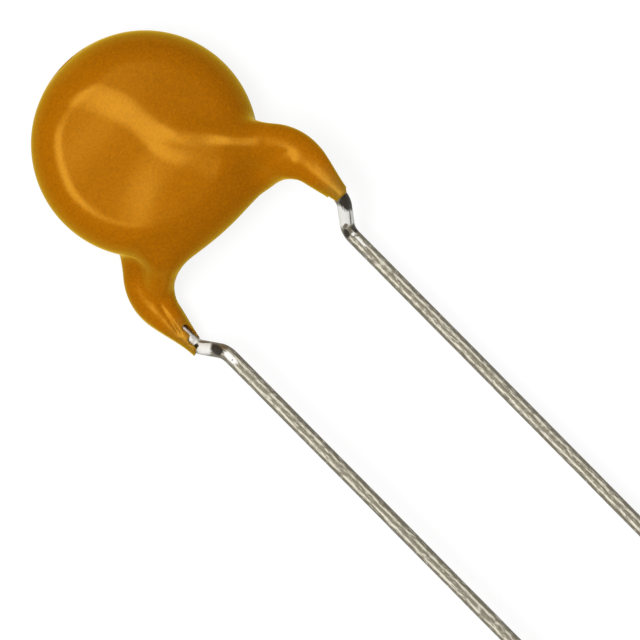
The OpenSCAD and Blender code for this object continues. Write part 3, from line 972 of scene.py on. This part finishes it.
def wire_rings(seed):
    """Rings of points along the front lead, their lengths along it and the angles round it."""
    path = lead_path(RING_STEP)
    tangent = np.gradient(path, axis=0)
    tangent /= np.linalg.norm(tangent, axis=1)[:, None]
    steps = np.linalg.norm(np.diff(path, axis=0), axis=1)
    length = np.concatenate([[0], np.cumsum(steps)])
    angles = 2 * np.pi * np.arange(SIDES) / SIDES
    cos, sin = np.cos(angles), np.sin(angles)
    front = np.array([0.0, 0.0, 1.0])
    rings = []
    for p, t in zip(path, tangent):
        front = unit(front - t * (front @ t))
        side = np.cross(t, front)
        rings.append(p + WIRE_R * (cos[:, None] * front + sin[:, None] * side))
    place = (length[:, None] * LUMP_ALONG, LUMP_ROUND * cos, LUMP_ROUND * sin)
    lump = LUMP_H * noise(np.stack(np.broadcast_arrays(*place), -1), LUMP_SCALE, seed, LUMP_OCTAVES)
    axis = path[:, None, :]
    rings = axis + (np.array(rings) - axis) * (1 - WIRE_TRIM + lump / WIRE_R)[..., None]
    return rings, length, angles


def ring_faces(n):
    """Faces between n rings, and one at each end."""
    index = np.arange(n * SIDES).reshape(n, SIDES)
    after = np.roll(index, -1, 1)
    quads = np.stack([index[:-1], after[:-1], after[1:], index[1:]], -1).reshape(-1, 4)
    return quads.tolist() + [index[0, ::-1].tolist(), index[-1].tolist()]


def map_wire(mesh, verts, u, v):
    """Gives the mesh its length and turns as one map, and its upright x and y as another."""
    wrapped = mesh.uv_layers.new(name="UVMap")
    for poly in mesh.polygons:
        turns = [v[i] for i in poly.vertices]
        seam = max(turns) - min(turns) > 0.5
        for loop in poly.loop_indices:
            i = mesh.loops[loop].vertex_index
            wrapped.data[loop].uv = (u[i], v[i] + (1.0 if seam and v[i] < 0.5 else 0.0))
    upright = mesh.uv_layers.new(name="upright")
    for loop in mesh.loops:
        upright.data[loop.index].uv = verts[loop.vertex_index, :2]


def lead(name, half_turn, node, seed, spots):
    """A tinned wire: rings swept along the centre line, with an uneven coat of tin."""
    rings, length, angles = wire_rings(seed)
    verts = rings.reshape(-1, 3)
    if half_turn:
        verts = tin_in_slot(turned(verts))
    obj = make_mesh(name, verts, ring_faces(len(length)))
    u, v = np.repeat(length, SIDES), np.tile(angles / (2 * np.pi), len(length))
    map_wire(obj.data, verts, u, v)
    obj.data.materials.append(wire_material("tin_" + name, spots))
    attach(obj, "root")
    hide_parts(node)


# Spots of painted light on the kinks: bright ones are painted reflections, dark, brown and grey
# ones painted shade
FRONT_SPOTS = [
    ("bright", 3.98, -8.3, 0.32, 0.5, -35),
    ("bright", 4.2, -8.6, 0.3, 0.3, -35),
    ("dark", 4.56, -8.05, 0.33, 0.36, 0),
    ("grey", 4.19, -8.63, 0.03, 0.3, -38),
    ("grey", 3.8, -8.72, 0.12, 0.08, 0),
    ("dark", 3.62, -8.98, 0.12, 0.2, -20),
    ("dark", 4.02, -9.08, 0.13, 0.2, 0),
    ("bright", 3.8, -9.2, 0.08, 0.07, 0),
    ("grey", 3.8, -9.34, 0.2, 0.035, -25),
    ("bright", 3.81, -9.66, 0.05, 0.3, 0),
]
REAR_SPOTS = [
    ("brown", -4.36, -7.3, 0.3, 0.5, 0),
    ("bright", -4.37, -7.1, 0.08, 0.36, 0),
    ("bright", -4.46, -7.52, 0.18, 0.26, 0),
    ("bright", -4.3, -8.1, 0.35, 0.36, 35),
    ("dark", -4.55, -7.84, 0.14, 0.1, 0),
    ("brown", -4.12, -7.98, 0.06, 0.3, 42),
    ("brown", -3.72, -8.55, 0.16, 0.42, 30),
    ("dark", -3.98, -8.6, 0.2, 0.3, 8),
    ("bright", -3.79, -9.28, 0.15, 0.36, 0),
    ("grey", -3.8, -9.4, 0.035, 0.035, 0),
]
lead("front_wire", False, "front_lead", 31, FRONT_SPOTS)
lead("rear_wire", True, "rear_lead", 57, REAR_SPOTS)

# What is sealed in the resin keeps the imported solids
SILVER = plain_metal("fired_silver", srgb(214, 212, 205), 0.45)
SOLDER = plain_metal("dull_solder", srgb(178, 178, 174), 0.4)
HIDDEN = {
    "ceramic_disc": grained("fired_ceramic", CERAMIC_GRAIN, *CERAMIC_TONES, Roughness=0.6),
    "front_electrode": SILVER,
    "rear_electrode": SILVER,
    "front_solder_joint": SOLDER,
    "rear_solder_joint": SOLDER,
}
for node, material in HIDDEN.items():
    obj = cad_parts[node]
    obj.data.materials.clear()
    obj.data.materials.append(material)

# ---- Floor, camera and lights

FLOOR_HALF = 0.4  # m
FLOOR_Z = -0.00002  # m
FLOOR_GREY = 0.18
FLOOR_LIFT = 0.86  # what the floor adds to its shade where it is seen, so that it looks white

FLOOR_CORNERS = [(-1, -1), (1, -1), (1, 1), (-1, 1)]
floor_points = [(x * FLOOR_HALF, y * FLOOR_HALF, FLOOR_Z) for x, y in FLOOR_CORNERS]
floor = add_mesh("floor", floor_points, [(0, 1, 2, 3)])
white = Nodes("pale_floor")
diffuse = white.add("ShaderNodeBsdfDiffuse", Color=(FLOOR_GREY, FLOOR_GREY, FLOOR_GREY, 1))
glow = white.add("ShaderNodeEmission", Color=(1, 1, 1, 1))
path_info = white.add("ShaderNodeLightPath")
seen = white.math("MAXIMUM", path_info.outputs["Is Camera Ray"], path_info.outputs["Is Glossy Ray"])
seen = white.math("MAXIMUM", seen, path_info.outputs["Is Transmission Ray"])
white.link(white.math("MULTIPLY", seen, FLOOR_LIFT), glow.inputs["Strength"])
both = white.add("ShaderNodeAddShader")
white.link(diffuse.outputs[0], both.inputs[0])
white.link(glow.outputs[0], both.inputs[1])
floor.data.materials.append(white.finish(both))

# The photograph's picture in the upright frame: its middle and width in mm, and its upward
# direction. The camera is far enough off for its long lens to take in that width.
VIEW_MIDDLE = (0.14, -10.85, 0.0)
VIEW_WIDTH = 27.94
VIEW_TURN = math.radians(45.33)
LENS = 200.0
SENSOR = 36.0

toward = Vector(lie_direction((0, 0, 1)))
up = Vector(lie_direction((math.cos(VIEW_TURN), math.sin(VIEW_TURN), 0)))
right = up.cross(toward)
target = Vector(lie(VIEW_MIDDLE) * MM)
distance = LENS / SENSOR * VIEW_WIDTH * MM


def facing(right_axis, up_axis, back_axis, place):
    """The matrix of a camera or lamp, which looks along its own -Z."""
    rows = zip(right_axis, up_axis, back_axis, place)
    return Matrix([list(r) for r in rows] + [[0, 0, 0, 1]])


camera_data = bpy.data.cameras.new("camera")
camera_data.lens = LENS
camera_data.sensor_width = SENSOR
camera_data.clip_start = 0.001
camera_data.clip_end = 10.0
camera = bpy.data.objects.new("camera", camera_data)
bpy.context.scene.collection.objects.link(camera)
camera.matrix_world = facing(right, up, toward, target + toward * distance)
bpy.context.scene.camera = camera

# One soft box, aimed just below the disc's middle: how far off it is in m, its angles from the
# camera's line to the picture's top and right, its width and height in mm, and its power in W
LAMP_AIM = (0, -1, 0)
LAMP_AWAY = 0.4
LAMP_UP = math.radians(-4.5)
LAMP_RIGHT = math.radians(-20)
LAMP_SIZE = (155, 230)
LAMP_POWER = 0.85
ROOM_LIGHT = 0.52

lamp_data = bpy.data.lights.new("soft_left", "AREA")
lamp_data.shape = "RECTANGLE"
lamp_data.size, lamp_data.size_y = LAMP_SIZE[0] * MM, LAMP_SIZE[1] * MM
lamp_data.energy = LAMP_POWER
lamp = bpy.data.objects.new("soft_left", lamp_data)
bpy.context.scene.collection.objects.link(lamp)
line = toward * math.cos(LAMP_RIGHT) * math.cos(LAMP_UP)
line += right * math.sin(LAMP_RIGHT) * math.cos(LAMP_UP)
line = (line + up * math.sin(LAMP_UP)).normalized()
lamp_x = up.cross(line).normalized()
lamp_place = Vector(lie(LAMP_AIM) * MM) + line * LAMP_AWAY
lamp.matrix_world = facing(lamp_x, line.cross(lamp_x), line, lamp_place)

world = bpy.data.worlds.new("room")
bpy.context.scene.world = world
world.use_nodes = True
background = world.node_tree.nodes["Background"]
background.inputs["Color"].default_value = (1, 1, 1, 1)
background.inputs["Strength"].default_value = ROOM_LIGHT

bpy.context.scene.view_settings.view_transform = "Standard"
